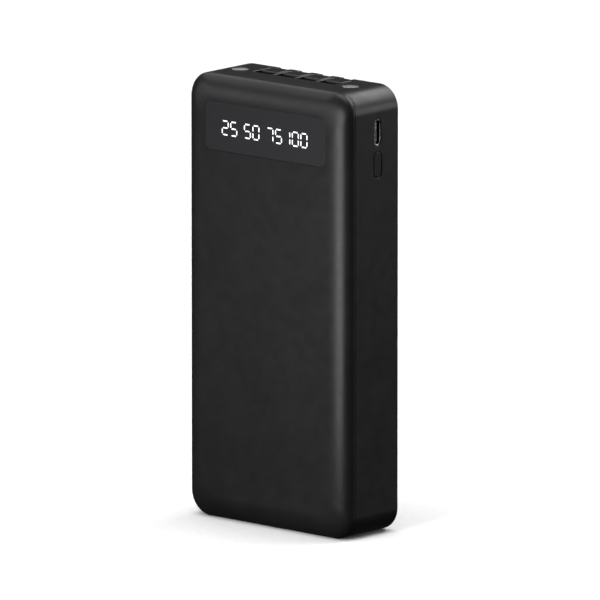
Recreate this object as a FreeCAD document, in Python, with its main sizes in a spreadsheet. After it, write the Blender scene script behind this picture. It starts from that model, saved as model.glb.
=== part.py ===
import FreeCAD, Part
import math
import os
import re
import Sketcher

# Power bank that stands on its lower end: a two-part moulded case, a number display behind an inlaid
# window, two torches and four stowed plugs in the top, a charging port and a button in the right side.
# The origin is the middle of the bottom. X is the width, +Y the back, +Z up. Lengths are millimetres.

doc = FreeCAD.newDocument("PowerBank")
sheet = doc.addObject("Spreadsheet::Sheet", "Sizes")

SIZES = {
    # case
    "height": 154.0, "width": 73.0, "depth": 27.6, "corner_radius": 8.0, "back_edge_radius": 1.2,
    "wall": 2.0, "back_wall": 3.0, "cover_depth": 4.9, "edge_run": 7.8, "edge_drop": 4.7,
    "seam_gap": 0.2, "lip_depth": 1.6, "lip_thickness": 1.0, "fit_gap": 0.1, "hair": 0.01, "sink": 0.5,
    # display
    "window_width": 54.2, "window_height": 16.8, "window_drop": 8.8, "window_radius": 2.4,
    "window_thickness": 1.0, "digit_height": 5.4, "digit_width": 3.4, "digit_pitch": 3.87,
    "digit_drop": 14.7, "digits_wide": 39.2, "stroke": 0.7, "stroke_gap": 0.12,
    "slot_gap": 0.04, "guide_margin": 1.0, "ribbon_x": 27.8, "ribbon_width": 4.0,
    "mask_depth": 2.5, "mask_rim": 2.2, "led_size": 1.6, "led_height": 0.8, "led_pitch": 4.2,
    "display_board_width": 58.0, "display_board_height": 15.6, "display_board_thickness": 1.0,
    "stake_diameter": 2.0, "stake_inset": 2.2,
    # plugs, their bays and leads
    "bay_pitch": 9.55, "bay_gap": 0.4, "bay_end_gap": 0.3, "bay_inset": 2.6, "bay_depth": 10.3,
    "bay_wall": 1.2, "bay_radius": 0.8, "plug_width": 7.7, "finger_gap": 3.9, "grip_height": 6.0,
    "plug_height": 15.0, "tip_length": 6.65, "tip_room": 0.8, "ledge": 1.0,
    "tip_sink": 2.0, "tip_flat": 0.05, "broad_tip_width": 8.25, "broad_tip_thickness": 2.4,
    "slim_tip_width": 6.85, "slim_tip_thickness": 1.8, "blade_width": 6.7, "blade_thickness": 1.5,
    "plate_thickness": 0.5, "pad_width": 0.4, "pad_pitch": 0.7, "grip_edge": 0.6,
    "lead_width": 4.5, "lead_thickness": 1.6, "lead_side_gap": 0.2, "lead_cover": 0.3,
    "groove_depth": 1.9, "boot_drop": 3.0, "boot_clearance": 0.3, "root_bottom": 3.4,
    "root_height": 10.5, "root_neck_height": 3.0, "root_neck_width": 3.6, "root_flange": 1.0,
    # torches
    "torch_side_inset": 11.6, "torch_inset": 11.9, "lens_diameter": 5.8, "lens_recess": 0.15,
    "flange_diameter": 7.4, "flange_height": 1.0, "reflector_height": 3.4,
    "torch_board_thickness": 1.0, "sleeve_wall": 1.0, "torch_led_size": 2.0,
    "torch_led_height": 0.7, "reflector_throat": 3.0, "reflector_mouth": 6.0,
    # side port and button
    "port_inset": 11.1, "port_drop": 14.6, "port_length": 8.9, "port_thickness": 3.2, "port_depth": 7.35,
    "port_recess": 0.3, "port_sheet": 0.3, "port_hole_gap": 0.12, "tongue_length": 6.7,
    "tongue_thickness": 0.7, "tongue_recess": 0.6, "tongue_reach": 4.6,
    "contact_width": 0.25, "contact_pitch": 0.5, "contact_thickness": 0.1,
    "button_drop": 25.6, "button_length": 9.0, "button_width": 4.0, "button_gap": 0.15,
    "button_recess": 0.1, "button_edge": 0.3, "button_rim": 0.7, "button_rim_depth": 0.8,
    "button_travel": 0.4, "rim_gap": 0.05, "plunger_diameter": 1.6, "plunger_length": 1.1,
    "switch_length": 6.0, "switch_height": 3.4, "switch_depth": 3.0,
    # main board
    "board_thickness": 1.2, "board_drop": 33.0, "board_height": 8.8, "tongue_gap": 1.225,
    "tongue_room": 0.4, "board_side_gap": 1.7, "boss_diameter": 4.6, "screw_diameter": 1.8,
    "screw_head": 3.4, "screw_head_height": 1.2, "screw_length": 6.0, "screw_inset": 7.1,
    "inductor_size": 6.6, "inductor_height": 4.0, "chip_size": 4.0, "chip_height": 0.9,
    "capacitor_diameter": 5.0, "capacitor_length": 5.6,
    # cells
    "cell_side_room": 2.0, "cell_bottom": 9.6, "foam_gap": 0.3, "tab_room": 0.2,
    "cell_radius": 2.5, "cell_seat_gap": 0.1, "tape_thickness": 0.2, "foam_thickness": 0.8,
    "shelf_thickness": 1.0, "tab_width": 6.0, "tab_height": 1.2, "tab_thickness": 0.2, "tab_x": 13.0,
    "pad_inset": 6.0,
    # wires
    "wire_diameter": 1.2, "harness_diameter": 1.5, "harness_inset": 10.5, "board_lane_drop": 1.8,
    "side_lane_inset": 6.0, "torch_wire_offset": 2.0, "torch_wire_rise": 0.8, "wire_rise": 3.0,
    "harness_bend": 3.0, "wire_bend": 1.5, "torch_wire_bend": 0.75,
}

for row, (name, size) in enumerate(SIZES.items(), start=1):
    sheet.set(f"A{row}", name)
    sheet.set(f"B{row}", str(size))
    sheet.setAlias(f"B{row}", name)
doc.recompute()

nodes = []


# ---------------------------------------------------------------- helpers

def linked(text):
    """The text with each size name pointed at the sheet."""
    return re.sub(r"[a-z_]{2,}", lambda found: "Sizes." + found.group(), str(text))


def number(text):
    """The value that such a text has now."""
    return float(sheet.evalExpression(linked(text)))


def bind(item, place, text):
    item.setExpression(place, linked(text))


def node(item, label):
    """Marks an object as one sub-part of the assembly."""
    item.Label = label
    nodes.append(item)
    return item


def around(middle, wide):
    """The low and high ends of a stretch that is centred on a place."""
    return f"({middle}) - ({wide}) / 2", f"({middle}) + ({wide}) / 2"


def new_body(name):
    return doc.addObject("PartDesign::Body", name)


PLANES = {"XY": ("XY_Plane", 1), "XZ": ("XZ_Plane", -1), "YZ": ("YZ_Plane", 1)}


def new_sketch(body, plane, across, up, level):
    """A sketch parallel to an origin plane, with its own origin at the middle of the outline."""
    role, sense = PLANES[plane]
    sketch = body.newObject("Sketcher::SketchObject", "Outline")
    origin_plane = [item for item in body.Origin.OriginFeatures if item.Role == role][0]
    sketch.AttachmentSupport = (origin_plane, [""])
    sketch.MapMode = "FlatFace"
    bind(sketch, "AttachmentOffset.Base.x", across)
    bind(sketch, "AttachmentOffset.Base.y", up)
    bind(sketch, "AttachmentOffset.Base.z", f"{sense} * ({level})")
    return sketch


def named(sketch, constraint, name, text):
    index = sketch.addConstraint(constraint)
    sketch.renameConstraint(index, name)
    bind(sketch, "Constraints." + name, text)


def draw_rectangle(sketch, wide, tall):
    half_wide = number(wide) / 2
    half_tall = number(tall) / 2
    corners = [FreeCAD.Vector(x * half_wide, y * half_tall, 0)
               for x, y in ((-1, -1), (1, -1), (1, 1), (-1, 1))]
    for index in range(4):
        sketch.addGeometry(Part.LineSegment(corners[index], corners[(index + 1) % 4]))
    for index in range(4):
        sketch.addConstraint(Sketcher.Constraint("Coincident", index, 2, (index + 1) % 4, 1))
    for index, kind in enumerate(("Horizontal", "Vertical", "Horizontal", "Vertical")):
        sketch.addConstraint(Sketcher.Constraint(kind, index))
    sketch.addConstraint(Sketcher.Constraint("Symmetric", 0, 1, 2, 1, -1, 1))
    named(sketch, Sketcher.Constraint("DistanceX", 0, 1, 0, 2, 2 * half_wide), "wide", wide)
    named(sketch, Sketcher.Constraint("DistanceY", 1, 1, 1, 2, 2 * half_tall), "tall", tall)


def draw_rounded(sketch, wide, tall, radius):
    half_wide = number(wide) / 2
    half_tall = number(tall) / 2
    bend = number(radius)
    near_x = half_wide - bend
    near_y = half_tall - bend
    normal = FreeCAD.Vector(0, 0, 1)
    lines = (((-near_x, -half_tall), (near_x, -half_tall)), ((half_wide, -near_y), (half_wide, near_y)),
             ((near_x, half_tall), (-near_x, half_tall)), ((-half_wide, near_y), (-half_wide, -near_y)))
    for start, end in lines:
        sketch.addGeometry(Part.LineSegment(FreeCAD.Vector(*start, 0), FreeCAD.Vector(*end, 0)))
    centres = ((near_x, -near_y), (near_x, near_y), (-near_x, near_y), (-near_x, -near_y))
    for quarter, centre in enumerate(centres):
        circle = Part.Circle(FreeCAD.Vector(*centre, 0), normal, bend)
        start = (quarter - 1) * math.pi / 2
        sketch.addGeometry(Part.ArcOfCircle(circle, start, start + math.pi / 2))
    for index in range(4):
        arc = 4 + index
        sketch.addConstraint(Sketcher.Constraint("Tangent", index, 2, arc, 1))
        sketch.addConstraint(Sketcher.Constraint("Tangent", arc, 2, (index + 1) % 4, 1))
    for index, kind in enumerate(("Horizontal", "Vertical", "Horizontal", "Vertical")):
        sketch.addConstraint(Sketcher.Constraint(kind, index))
    for arc in (5, 6, 7):
        sketch.addConstraint(Sketcher.Constraint("Equal", 4, arc))
    sketch.addConstraint(Sketcher.Constraint("Symmetric", 4, 3, 6, 3, -1, 1))
    named(sketch, Sketcher.Constraint("Radius", 4, bend), "bend", radius)
    named(sketch, Sketcher.Constraint("DistanceX", 3, 2, 1, 1, 2 * half_wide), "wide", wide)
    named(sketch, Sketcher.Constraint("DistanceY", 0, 2, 2, 1, 2 * half_tall), "tall", tall)


def draw_circle(sketch, diameter):
    circle = Part.Circle(FreeCAD.Vector(0, 0, 0), FreeCAD.Vector(0, 0, 1), number(diameter) / 2)
    sketch.addGeometry(circle)
    sketch.addConstraint(Sketcher.Constraint("Coincident", 0, 3, -1, 1))
    named(sketch, Sketcher.Constraint("Diameter", 0, number(diameter)), "across", diameter)


def finish_feature(body, kind, sketch, along):
    before = body.Shape.Volume if body.Tip and not body.Shape.isNull() else 0
    feature = body.newObject("PartDesign::" + kind, kind)
    feature.Profile = sketch
    bind(feature, "Length", f"({along[1]}) - ({along[0]})")
    doc.recompute()
    change = body.Shape.Volume - before
    if (change > 0) != (kind == "Pad") or abs(change) < 1e-6:
        raise ValueError(f"{body.Name}: a {kind} changed the volume by {change}")
    return feature


def prism(body, kind, plane, across, up, along, radius=None):
    """Pads or pockets a rectangle, with rounded corners or without, given by its low and high ends."""
    sense = PLANES[plane][1]
    start = along[0] if (kind == "Pad") == (sense > 0) else along[1]
    middles = [f"(({low}) + ({high})) / 2" for low, high in (across, up)]
    sketch = new_sketch(body, plane, middles[0], middles[1], start)
    wide, tall = (f"({high}) - ({low})" for low, high in (across, up))
    if radius is None:
        draw_rectangle(sketch, wide, tall)
    else:
        draw_rounded(sketch, wide, tall, radius)
    return finish_feature(body, kind, sketch, along)


def rod(body, kind, plane, middle, diameter, along):
    """Pads or pockets a circle."""
    sense = PLANES[plane][1]
    start = along[0] if (kind == "Pad") == (sense > 0) else along[1]
    sketch = new_sketch(body, plane, middle[0], middle[1], start)
    draw_circle(sketch, diameter)
    return finish_feature(body, kind, sketch, along)


def soften(body, radius, chosen):
    """Rounds the edges of the body's last feature that pass a test."""
    last = body.Tip
    names = [f"Edge{index}" for index, edge in enumerate(last.Shape.Edges, start=1) if chosen(edge)]
    fillet = body.newObject("PartDesign::Fillet", "Fillet")
    fillet.Base = (last, names)
    bind(fillet, "Radius", radius)
    doc.recompute()
    return fillet


def lies_at(axis, text):
    """A test for edges that lie wholly in a plane across an axis."""
    level = number(text)

    def chosen(edge):
        box = edge.BoundBox
        low, high = getattr(box, axis + "Min"), getattr(box, axis + "Max")
        return abs(low - level) < 1e-4 and abs(high - level) < 1e-4
    return chosen


def block(name, across, deep, up):
    """A plain box given by its low and high ends along X, Y and Z."""
    item = doc.addObject("Part::Box", name)
    for side, axis, (low, high) in zip(("Length", "Width", "Height"), "xyz", (across, deep, up)):
        bind(item, side, f"({high}) - ({low})")
        bind(item, "Placement.Base." + axis, low)
    return item


def joined(name, items):
    item = doc.addObject("Part::MultiFuse", name)
    item.Shapes = items
    return item


def group(name, items):
    item = doc.addObject("Part::Compound", name)
    item.Links = items
    return item


def taken(name, base, tool):
    item = doc.addObject("Part::Cut", name)
    item.Base = base
    item.Tool = tool
    return item


def wire_shape(points, diameter, bend_text):
    """A round wire along straight runs joined by arcs that are tangent to both."""
    bend = number(bend_text)
    places = [FreeCAD.Vector(*(number(text) for text in point)) for point in points]
    edges = []
    start = places[0]
    for before, corner, after in zip(places, places[1:], places[2:]):
        inward = (before - corner).normalize()
        outward = (after - corner).normalize()
        half_turn = (math.pi - inward.getAngle(outward)) / 2
        back_off = bend * math.tan(half_turn)
        enter = corner + inward * back_off
        leave = corner + outward * back_off
        middle = (inward + outward).normalize()
        centre = corner + middle * (bend / math.cos(half_turn))
        edges.append(Part.LineSegment(start, enter).toShape())
        edges.append(Part.Arc(enter, centre - middle * bend, leave).toShape())
        start = leave
    edges.append(Part.LineSegment(start, places[-1]).toShape())
    section = Part.Wire(Part.makeCircle(number(diameter) / 2, places[0], places[1] - places[0]))
    return Part.Wire(edges).makePipeShell([section], True, False)


def wire_node(label, routes, diameter, bend):
    item = doc.addObject("Part::Feature", "Wires")
    item.Shape = Part.makeCompound([wire_shape(points, diameter, bend) for points in routes])
    return node(item, label)


# ---------------------------------------------------------------- shared places

FRONT = "(-depth / 2)"
BACK = "(depth / 2)"
SEAM = "(cover_depth - depth / 2)"
SIDE = "(width / 2)"
INNER_SIDE = "(width / 2 - wall)"
INNER_TOP = "(height - wall)"
INNER_BACK = "(depth / 2 - back_wall)"
COVER_INNER = "(wall - depth / 2)"

WINDOW_TOP = "(height - window_drop)"
WINDOW_BOTTOM = "(height - window_drop - window_height)"
WINDOW_REAR = "(window_thickness - depth / 2)"
DIGIT_MIDDLE = "(height - digit_drop - digit_height / 2)"
GUIDE_WIDE = "(digits_wide + 2 * guide_margin)"
GUIDE_TALL = "(digit_height + 2 * guide_margin)"
MASK_REAR = "(wall - depth / 2 + mask_depth)"
DISPLAY_BOARD_REAR = f"({MASK_REAR} + display_board_thickness)"
STAKE_X = "(display_board_width / 2 - stake_inset)"

BAY_BACK = "(depth / 2 - bay_inset)"
BAY_FRONT = "(depth / 2 - bay_inset - bay_depth)"
BAY_MIDDLE = "(depth / 2 - bay_inset - bay_depth / 2)"
BAY_LEDGE = "(height - plug_height - boot_clearance)"
BAY_FLOOR = "(height - plug_height - tip_length - tip_room)"
BAY_BLOCK_WIDE = "(3 * bay_pitch + plug_width + 2 * bay_gap + 2 * bay_wall)"
GRIP_FRONT = f"({BAY_FRONT} + finger_gap)"
PLUG_BOTTOM = "(height - plug_height)"
NOTCH_FLOOR = "(height - lead_cover - lead_thickness - boot_clearance)"
GROOVE_FLOOR = "(depth / 2 - groove_depth)"
LEAD_OUTER = "(depth / 2 - fit_gap)"
LEAD_INNER = "(depth / 2 - fit_gap - lead_thickness)"
LEAD_TOP = "(height - lead_cover - boot_drop)"
LEAD_BOTTOM = "(root_bottom + root_height)"

TORCH_X = "(width / 2 - torch_side_inset)"
TORCH_Y = "(depth / 2 - torch_inset)"
LENS_TOP = "(height - lens_recess)"
FLANGE_BOTTOM = "(height - wall - flange_height)"
REFLECTOR_BOTTOM = f"({FLANGE_BOTTOM} - reflector_height)"
TORCH_BOARD_BOTTOM = f"({REFLECTOR_BOTTOM} - torch_board_thickness)"

PORT_Y = "(depth / 2 - port_inset)"
PORT_Z = "(height - port_drop)"
BUTTON_Z = "(height - button_drop)"
BOARD_REAR = f"({PORT_Y} - port_thickness / 2)"
BOARD_FRONT = f"({BOARD_REAR} - board_thickness)"
BOARD_BOTTOM = "(height - board_drop)"
BOARD_TOP = "(height - board_drop + board_height)"
TONGUE_LEFT = f"({BAY_BLOCK_WIDE} / 2 + tongue_gap)"
TONGUE_TOP = f"({TORCH_BOARD_BOTTOM} - tongue_room)"

CELL_WIDTH = f"(2 * {INNER_SIDE} - 2 * cell_side_room)"
CELL_TOP = f"({BOARD_BOTTOM} - tab_height - tab_room)"
CELL_HEIGHT = f"({CELL_TOP} - cell_bottom)"
CELL_ROOM = "(depth - back_wall - wall - cell_seat_gap - foam_thickness - foam_gap)"
CELL_THICKNESS = f"(({CELL_ROOM} - tape_thickness) / 2)"
REAR_CELL_FRONT = f"({INNER_BACK} - cell_seat_gap - {CELL_THICKNESS})"
FRONT_CELL_REAR = f"({REAR_CELL_FRONT} - tape_thickness)"
FRONT_CELL_FRONT = f"({FRONT_CELL_REAR} - {CELL_THICKNESS})"
CELL_MIDDLES = (f"({REAR_CELL_FRONT} + {CELL_THICKNESS} / 2)",
                f"({FRONT_CELL_REAR} - {CELL_THICKNESS} / 2)")

# Middles of the board screws, across and up.
SCREWS = [(f"(screw_inset - {SIDE})", f"{BOARD_BOTTOM} + boss_diameter / 2"),
          (f"{TONGUE_LEFT} + boss_diameter / 2", f"{BOARD_BOTTOM} + boss_diameter / 2"),
          (f"{TONGUE_LEFT} + boss_diameter / 2", f"{TONGUE_TOP} - boss_diameter / 2")]

# Each plug's number and its middle across.
BAYS = [(index + 1, f"(({index} - 1.5) * bay_pitch)") for index in range(4)]


# ---------------------------------------------------------------- case

def cushion(name, inset, skin, corner):
    """A slab with a long, shallow curve to its front edges. Its rear is at Y = 0."""
    run = f"(edge_run - {inset})"
    drop = f"(edge_drop - {skin})"
    deep = f"((cover_depth - {skin}) * {run} / {drop})"
    body = new_body(name + "Blank")
    prism(body, "Pad", "XZ", around("0", f"width - 2 * {inset}"), (inset, f"height - {inset}"),
          (f"-{deep}", "0"), corner)
    soften(body, run, lies_at("Y", f"-{deep}"))
    scaled = doc.addObject("Part::Scale", name)
    scaled.Base = body
    scaled.Uniform = False
    bind(scaled, "YScale", f"{drop} / {run}")
    return scaled


def front_cover():
    lip_outset = "(wall + fit_gap)"
    rim = f"({lip_outset} + lip_thickness)"
    outer = cushion("CoverOutside", "(0 * wall)", "(0 * wall)", "corner_radius")
    inner = cushion("CoverInside", rim, "wall", f"corner_radius - {rim}")
    shell = taken("CoverShell", outer, inner)

    lip = new_body("CoverLip")
    depth = ("-sink", "lip_depth")
    prism(lip, "Pad", "XZ", around("0", f"width - 2 * {lip_outset}"),
          (lip_outset, f"height - {lip_outset}"), depth, f"corner_radius - {lip_outset}")
    prism(lip, "Pocket", "XZ", around("0", f"width - 2 * {rim}"), (rim, f"height - {rim}"),
          depth, f"corner_radius - {rim}")

    stakes = []
    for sign in (-1, 1):
        stake = new_body("DisplayStake")
        rod(stake, "Pad", "XZ", (f"{sign} * {STAKE_X}", DIGIT_MIDDLE), "stake_diameter",
            ("wall - cover_depth - sink", f"{DISPLAY_BOARD_REAR} - {SEAM} + sink"))
        stakes.append(stake)

    seat = new_body("WindowSeat")
    prism(seat, "Pad", "XZ", around("0", "window_width + 2 * fit_gap"),
          (f"{WINDOW_BOTTOM} - fit_gap", f"{WINDOW_TOP} + fit_gap"),
          ("-cover_depth - sink", "window_thickness - cover_depth"), "window_radius + fit_gap")
    light = block("LightOpening", around("0", f"{GUIDE_WIDE} + 2 * fit_gap"), ("-cover_depth", "0"),
                  around(DIGIT_MIDDLE, f"{GUIDE_TALL} + 2 * fit_gap"))

    whole = joined("CoverWithLip", [shell, lip] + stakes)
    cover = taken("FrontCover", whole, joined("CoverOpenings", [seat, light]))
    bind(cover, "Placement.Base.y", SEAM)
    node(cover, "front_cover")


def main_housing():
    body = new_body("MainHousing")
    face = f"{SEAM} + seam_gap"
    prism(body, "Pad", "XZ", around("0", "width"), ("0", "height"), (face, BACK), "corner_radius")
    soften(body, "back_edge_radius", lies_at("Y", BACK))
    prism(body, "Pocket", "XZ", around("0", "width - 2 * wall"), ("wall", INNER_TOP),
          (face, INNER_BACK), "corner_radius - wall")

    # walls of the plug bays, the torch sleeves, the shelf under the cells and the board's bosses
    prism(body, "Pad", "XZ", around("0", BAY_BLOCK_WIDE),
          (f"{BAY_FLOOR} - bay_wall", f"{INNER_TOP} + sink"),
          (f"{BAY_FRONT} - bay_wall", f"{INNER_BACK} + sink"))
    for sign in (-1, 1):
        rod(body, "Pad", "XY", (f"{sign} * {TORCH_X}", TORCH_Y), "flange_diameter + 2 * sleeve_wall",
            (TORCH_BOARD_BOTTOM, f"{INNER_TOP} + sink"))
    prism(body, "Pad", "XZ", around("0", f"{CELL_WIDTH} - 2 * sink"),
          ("cell_bottom - cell_seat_gap - shelf_thickness", "cell_bottom - cell_seat_gap"),
          (f"{SEAM} + lip_depth + sink", f"{INNER_BACK} + sink"))
    for place in SCREWS:
        rod(body, "Pad", "XZ", place, "boss_diameter", (BOARD_REAR, f"{INNER_BACK} + sink"))
        rod(body, "Pocket", "XZ", place, "screw_diameter", (BOARD_REAR, f"{BOARD_REAR} + screw_length"))

    above = "height + sink"
    for _, x in BAYS:
        prism(body, "Pocket", "XY", around(x, "plug_width + 2 * bay_gap"), (BAY_FRONT, BAY_BACK),
              (BAY_LEDGE, above), "bay_radius")
        prism(body, "Pocket", "XY", around(x, "plug_width - 2 * ledge"),
              (f"{BAY_FRONT} + bay_end_gap", f"{BAY_BACK} - bay_end_gap"), (BAY_FLOOR, above), "bay_radius")
        prism(body, "Pocket", "XZ", around(x, "lead_width + 2 * lead_side_gap"), ("root_bottom", above),
              (GROOVE_FLOOR, f"{BACK} + sink"))
        prism(body, "Pocket", "XY", around(x, "lead_width + 2 * lead_side_gap"),
              (f"{BAY_BACK} - sink", f"{BACK} + sink"), (NOTCH_FLOOR, above))
        prism(body, "Pocket", "XZ", around(x, "root_neck_width + 2 * fit_gap"),
              around("root_bottom + root_neck_height", "root_neck_height + 2 * fit_gap"),
              (f"{INNER_BACK} - sink", f"{GROOVE_FLOOR} + sink"))
    for sign in (-1, 1):
        place = (f"{sign} * {TORCH_X}", TORCH_Y)
        rod(body, "Pocket", "XY", place, "lens_diameter + 2 * fit_gap", (FLANGE_BOTTOM, above))
        rod(body, "Pocket", "XY", place, "flange_diameter + 2 * fit_gap",
            (f"{TORCH_BOARD_BOTTOM} - sink", INNER_TOP))

    prism(body, "Pocket", "YZ", around(PORT_Y, "port_thickness + 2 * port_hole_gap"),
          around(PORT_Z, "port_length + 2 * port_hole_gap"),
          (f"{INNER_SIDE} - sink", f"{SIDE} + sink"), "port_thickness / 2 - hair")
    prism(body, "Pocket", "YZ", around(PORT_Y, "button_width + 2 * button_gap"),
          around(BUTTON_Z, "button_length + 2 * button_gap"),
          (f"{INNER_SIDE} - sink", f"{SIDE} + sink"), "button_width / 2 - hair")
    node(body, "main_housing")


# ---------------------------------------------------------------- display

# Segments of a number cell: the side and the level of each middle, and whether the segment is upright.
SEGMENTS = {"a": (0, 1, False), "b": (1, 0.5, True), "c": (1, -0.5, True), "d": (0, -1, False),
            "e": (-1, -0.5, True), "f": (-1, 0.5, True), "g": (0, 0, False)}
LIT = {"0": "abcdef", "1": "bc", "2": "abged", "5": "afgcd", "7": "abc"}
# The numbers, each with its distance from the left end of the row.
NUMBERS = (("25", 0), ("50", 10.06), ("75", 20.26), ("100", 27.86))


def segment_blocks(name, grow, deep):
    """One small box for each lit segment, grown all round by a clearance."""
    items = []
    for digits, left in NUMBERS:
        for index, digit in enumerate(digits):
            cell = f"({left} - digits_wide / 2 + {index} * digit_pitch + digit_width / 2)"
            for segment in LIT[digit]:
                side, level, upright = SEGMENTS[segment]
                if upright:
                    wide, tall = "stroke", "digit_height / 2 - stroke_gap"
                    up = f"{DIGIT_MIDDLE} + {level} * digit_height / 2"
                else:
                    wide, tall = "digit_width - 2 * stroke - 2 * stroke_gap", "stroke"
                    up = f"{DIGIT_MIDDLE} + {level} * (digit_height - stroke) / 2"
                across = f"{cell} + {side} * (digit_width - stroke) / 2"
                items.append(block(name, around(across, f"{wide} + 2 * {grow}"), deep,
                                   around(up, f"{tall} + 2 * {grow}")))
    return items


def window_and_guide():
    panel = new_body("WindowPanel")
    prism(panel, "Pad", "XZ", around("0", "window_width"), (WINDOW_BOTTOM, WINDOW_TOP),
          (FRONT, WINDOW_REAR), "window_radius")
    slots = segment_blocks("WindowSlot", "slot_gap", (f"{FRONT} - sink", f"{WINDOW_REAR} + sink"))
    node(taken("DisplayWindow", panel, joined("WindowSlots", slots)), "display_window")

    plate = block("GuidePlate", around("0", GUIDE_WIDE), (WINDOW_REAR, COVER_INNER),
                  around(DIGIT_MIDDLE, GUIDE_TALL))
    bars = segment_blocks("GuideBar", "0", (FRONT, f"{WINDOW_REAR} + sink"))
    node(joined("LightGuide", [plate] + bars), "digit_light_guide")


def display_electronics():
    mask = new_body("DisplayMask")
    deep = (COVER_INNER, MASK_REAR)
    prism(mask, "Pad", "XZ", around("0", f"{GUIDE_WIDE} + 2 * mask_rim"),
          around(DIGIT_MIDDLE, f"{GUIDE_TALL} + 2 * mask_rim"), deep, "mask_rim / 2")
    prism(mask, "Pocket", "XZ", around("0", f"{GUIDE_WIDE} - guide_margin"),
          around(DIGIT_MIDDLE, f"{GUIDE_TALL} - guide_margin"), deep)
    node(mask, "display_mask")

    board = new_body("DisplayBoard")
    deep = (MASK_REAR, DISPLAY_BOARD_REAR)
    prism(board, "Pad", "XZ", around("0", "display_board_width"),
          around(DIGIT_MIDDLE, "display_board_height"), deep, "wall / 2")
    for sign in (-1, 1):
        rod(board, "Pocket", "XZ", (f"{sign} * {STAKE_X}", DIGIT_MIDDLE),
            "stake_diameter + 2 * rim_gap", deep)
    node(board, "display_board")

    leds = []
    for column in range(9):
        for row in (-1, 1):
            leds.append(block("DisplayLed", around(f"({column} - 4) * led_pitch", "led_size"),
                              (f"{MASK_REAR} - led_height", MASK_REAR),
                              around(f"{DIGIT_MIDDLE} + {row} * digit_height / 4", "led_size")))
    node(group("DisplayLeds", leds), "display_leds")

    level = f"({DIGIT_MIDDLE} - display_board_height / 2 + 2 * tab_thickness)"
    node(block("DisplayRibbon", around("ribbon_x", "ribbon_width"), (DISPLAY_BOARD_REAR, BOARD_FRONT),
               around(level, "tab_thickness")), "display_ribbon")


# ---------------------------------------------------------------- plugs and leads

def plug_grip(x):
    """The moulding of a stowed plug: body, stepped finger grip and the boot that turns over the edge."""
    front, rear = f"{BAY_FRONT} + bay_end_gap", f"({BAY_BACK} - bay_end_gap)"
    body = new_body("PlugGrip")
    prism(body, "Pad", "XY", around(x, "plug_width"), (front, rear), (PLUG_BOTTOM, "height - grip_height"),
          "bay_radius")
    prism(body, "Pad", "XY", around(x, "plug_width"), (GRIP_FRONT, rear),
          (f"{PLUG_BOTTOM} + tip_sink", "height"), "bay_radius")
    soften(body, "grip_edge", lies_at("Z", "height"))
    boot_top = "(height - lead_cover)"
    prism(body, "Pad", "XZ", around(x, "lead_width"), (f"{boot_top} - lead_thickness", boot_top),
          (f"{rear} - sink", LEAD_OUTER))
    prism(body, "Pad", "XZ", around(x, "lead_width"), (LEAD_TOP, f"{boot_top} - lead_thickness / 2"),
          (LEAD_INNER, LEAD_OUTER))
    at_rear, at_top = lies_at("Y", LEAD_OUTER), lies_at("Z", boot_top)
    soften(body, "lead_thickness * 0.75", lambda edge: at_rear(edge) and at_top(edge))
    return body


# Metal tips: width along the bay, thickness, and whether the tip is a hollow shell or a solid blade.
BROAD_TIP = ("broad_tip_width", "broad_tip_thickness", True)
SLIM_TIP = ("slim_tip_width", "slim_tip_thickness", True)
BLADE_TIP = ("blade_width", "blade_thickness", False)
TIPS = {1: BROAD_TIP, 2: BLADE_TIP, 3: SLIM_TIP, 4: BROAD_TIP}


def plugs():
    low = f"({PLUG_BOTTOM} - tip_length)"
    inside = f"({PLUG_BOTTOM} + tip_sink)"
    for index, x in BAYS:
        wide, thick, hollow = TIPS[index]
        across, deep = around(x, thick), around(BAY_MIDDLE, wide)
        bend = f"{thick} / 2 - tip_flat"
        grip = plug_grip(x)
        prism(grip, "Pocket", "XY", across, deep, (PLUG_BOTTOM, inside), bend)
        node(grip, f"plug_grip_{index}")

        tip = new_body("PlugTip")
        prism(tip, "Pad", "XY", across, deep, (low, inside), bend)
        if hollow:
            skin = "2 * port_sheet"
            prism(tip, "Pocket", "XY", around(x, f"{thick} - {skin}"),
                  around(BAY_MIDDLE, f"{wide} - {skin}"), (low, PLUG_BOTTOM), f"{bend} - port_sheet")
            contacts = [block("ContactPlate", around(x, "plate_thickness"),
                              around(BAY_MIDDLE, f"{wide} - 3 * {skin}"),
                              (f"{low} + tip_room", PLUG_BOTTOM))]
        else:
            contacts = []
            for pad in range(8):
                for sign in (-1, 1):
                    face = f"{x} + {sign} * ({thick} + contact_thickness) / 2"
                    contacts.append(block("ContactPad", around(face, "contact_thickness"),
                                          around(f"{BAY_MIDDLE} + ({pad} - 3.5) * pad_pitch", "pad_width"),
                                          (f"{low} + tip_room", f"{low} + tip_length / 2")))
        node(tip, f"plug_tip_{index}")
        node(group("PlugContacts", contacts), f"plug_contacts_{index}")


def leads():
    neck = "(root_bottom + root_neck_height)"
    for index, x in BAYS:
        lead = new_body("Lead")
        prism(lead, "Pad", "XY", around(x, "lead_width"), (LEAD_INNER, LEAD_OUTER),
              (LEAD_BOTTOM, LEAD_TOP), "lead_thickness / 2 - tip_flat")
        node(lead, f"lead_{index}")

        root = new_body("LeadRoot")
        prism(root, "Pad", "XZ", around(x, "lead_width"), ("root_bottom + fit_gap", LEAD_BOTTOM),
              (GROOVE_FLOOR, LEAD_OUTER), "bay_radius")
        prism(root, "Pad", "XZ", around(x, "root_neck_width"), around(neck, "root_neck_height"),
              (f"{INNER_BACK} - root_flange", f"{GROOVE_FLOOR} + fit_gap"))
        prism(root, "Pad", "XZ", around(x, "lead_width + root_flange"),
              around(neck, "root_neck_height + root_flange * 0.8"),
              (f"{INNER_BACK} - root_flange", INNER_BACK))
        node(root, f"lead_root_{index}")


# ---------------------------------------------------------------- torches

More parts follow.
